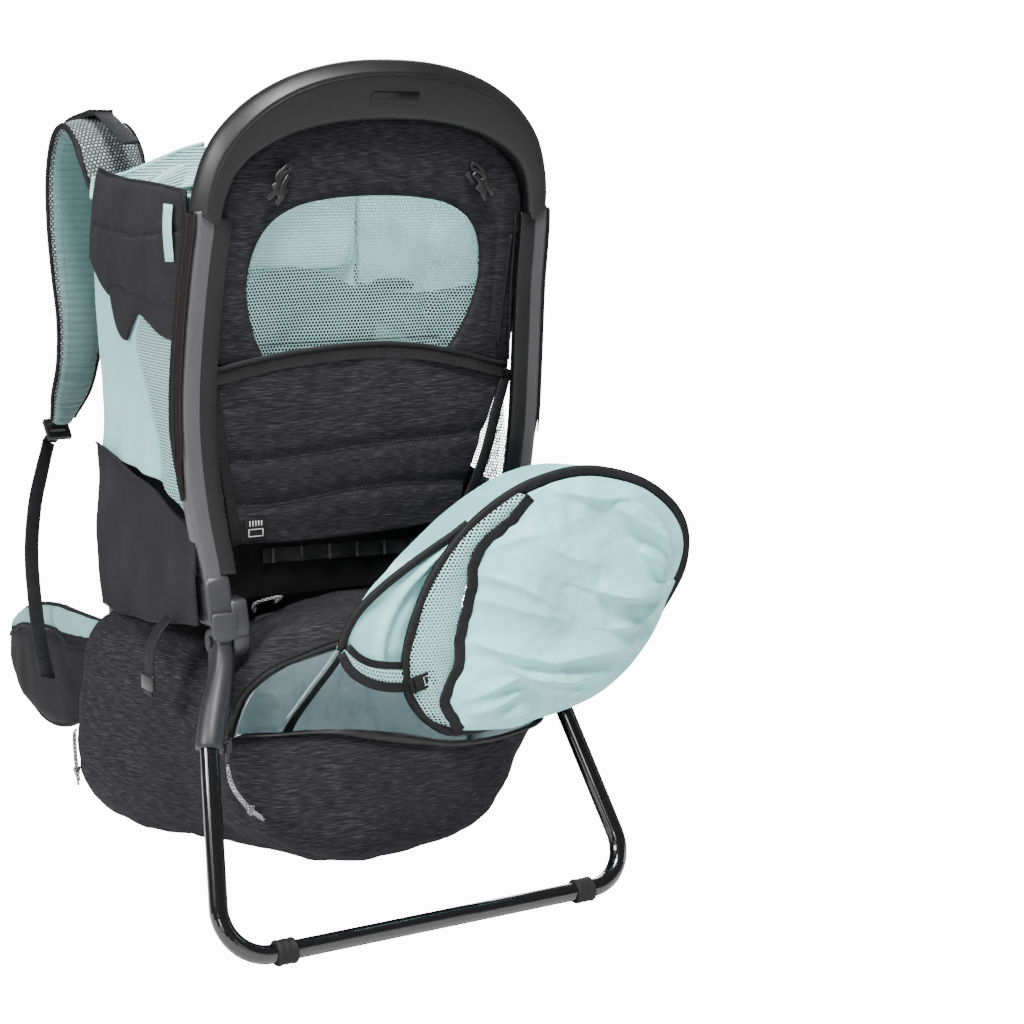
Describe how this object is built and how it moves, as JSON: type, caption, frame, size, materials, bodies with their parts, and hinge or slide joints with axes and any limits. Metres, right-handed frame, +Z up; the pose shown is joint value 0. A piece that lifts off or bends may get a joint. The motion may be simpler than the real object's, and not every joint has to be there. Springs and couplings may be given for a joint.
{
  "type": "child carrier backpack",
  "caption": "Framed child carrier backpack on a fold-out kickstand, with mesh window, head arch, hip belt, open storage bag and a hooped sunshade drawn part way out.",
  "frame": {"origin": "centre of the flat underside of the rubber base foot, under the wearer-side frame tube", "axes": "+X to the right seen from the kickstand side, +Y towards the wearer, +Z up; left and right in node names are -X and +X"},
  "size_m": [0.5116, 0.7203, 0.791],
  "materials": {
    "frame_satin": "satin anodised dark grey",
    "arch_plastic": "fine texture, satin",
    "trim_fabric": "woven trim",
    "rivet_steel": "burnished",
    "rubber_black": "matte",
    "heather_charcoal": "heather weave with fine horizontal streaks",
    "mesh_teal": "open hexagonal mesh",
    "binding_black": "grosgrain binding",
    "buckle_plastic": "moulded acetal",
    "label_black": "woven label",
    "stretch_teal": "plain stretch knit",
    "stretch_dark": "plain padded fabric",
    "rib_teal": "ribbed knit with dots",
    "lining_teal": "coated nylon, slight gloss",
    "cord_braid": "black and white braid",
    "webbing_black": "ribbed webbing",
    "button_red": "moulded",
    "spacer_mesh": "black and white spacer mesh over teal ribbed lining",
    "stand_black": "gloss black coat",
    "shade_nylon": "thin coated nylon"
  },
  "bodies": {
    "frame": {"post_left": "frame_satin", "post_right": "frame_satin", "head_arch": "arch_plastic", "post_trims": "trim_fabric", "inner_strips": "trim_fabric", "strip_rivets": "rivet_steel", "hinge_housing_left": "arch_plastic", "hinge_housing_right": "arch_plastic", "hinge_pins": "rivet_steel", "side_struts": "frame_satin", "front_frame": "frame_satin", "base_foot": "rubber_black", "rear_panel_upper": "heather_charcoal", "window_mesh": "mesh_teal", "panel_zip": "binding_black", "rear_panel_lower": "heather_charcoal", "panel_bindings": "binding_black", "gusset_meshes": "mesh_teal", "canopy_clips": "buckle_plastic", "care_label": "label_black", "cockpit_wing_left": "heather_charcoal", "cockpit_wing_right": "heather_charcoal", "side_stretch_panels": "stretch_teal", "side_mesh_panels": "mesh_teal", "side_lower_panels": "stretch_dark", "drool_pad": "rib_teal", "wing_tags": "stretch_teal", "back_pad": "stretch_dark", "lumbar_pad": "stretch_dark", "bag_shell": "heather_charcoal", "bag_lining": "lining_teal", "bag_zip": "binding_black", "zip_slider": "buckle_plastic", "lid_cord_loop": "cord_braid", "pull_cord_rear": "cord_braid", "pull_cord_side": "cord_braid", "harness_straps": "webbing_black", "harness_buckle": "buckle_plastic"},
    "kickstand": {"stand_tube": "stand_black", "stand_socket_left": "arch_plastic", "stand_socket_right": "arch_plastic", "stand_feet": "rubber_black"},
    "seat": {"child_seat": "stretch_dark"},
    "button": {"buckle_button": "button_red"},
    "shoulder_harness": {"yoke_plate": "stretch_dark", "shoulder_strap_left": "spacer_mesh", "shoulder_strap_right": "spacer_mesh", "ladder_locks": "buckle_plastic", "lower_webbings": "webbing_black", "lifter_webbings": "webbing_black"},
    "hip_left": {"hip_wing_left": "stretch_dark", "hip_strap_left": "webbing_black"},
    "hip_right": {"hip_wing_right": "stretch_dark", "hip_strap_right": "webbing_black"},
    "sunshade": {"shade_cloth": "shade_nylon", "shade_hoop": "binding_black", "shade_rear_hoop": "binding_black", "shade_rear_panel": "shade_nylon", "shade_mesh": "mesh_teal", "shade_tab": "label_black"}
  },
  "joints": [
    {"name": "kickstand_fold", "type": "hinge", "parent": "frame", "child": "kickstand", "pos_m": [0, -0.273, 0.268], "axis": [1, 0, 0], "range_deg": [0, 55]},
    {"name": "seat_height", "type": "slide", "parent": "frame", "child": "seat", "axis": [0, 0, 1], "range_m": [-0.02, 0.03]},
    {"name": "buckle_press", "type": "slide", "parent": "frame", "child": "button", "axis": [0, -1, 0], "range_m": [0, 0.0025], "stiffness_N_per_m": 300},
    {"name": "torso_length", "type": "slide", "parent": "frame", "child": "shoulder_harness", "axis": [0, 0, 1], "range_m": [-0.02, 0.03]},
    {"name": "hip_wing_left_flex", "type": "hinge", "parent": "frame", "child": "hip_left", "pos_m": [-0.128, 0.021, 0.19], "axis": [0, 0, -1], "range_deg": [0, 10]},
    {"name": "hip_wing_right_flex", "type": "hinge", "parent": "frame", "child": "hip_right", "pos_m": [0.128, 0.021, 0.19], "axis": [0, 0, 1], "range_deg": [0, 10]},
    {"name": "sunshade_draw", "type": "slide", "parent": "frame", "child": "sunshade", "axis": [0.3015, -0.9045, 0.3015], "range_m": [0, 0.08]}
  ]
}
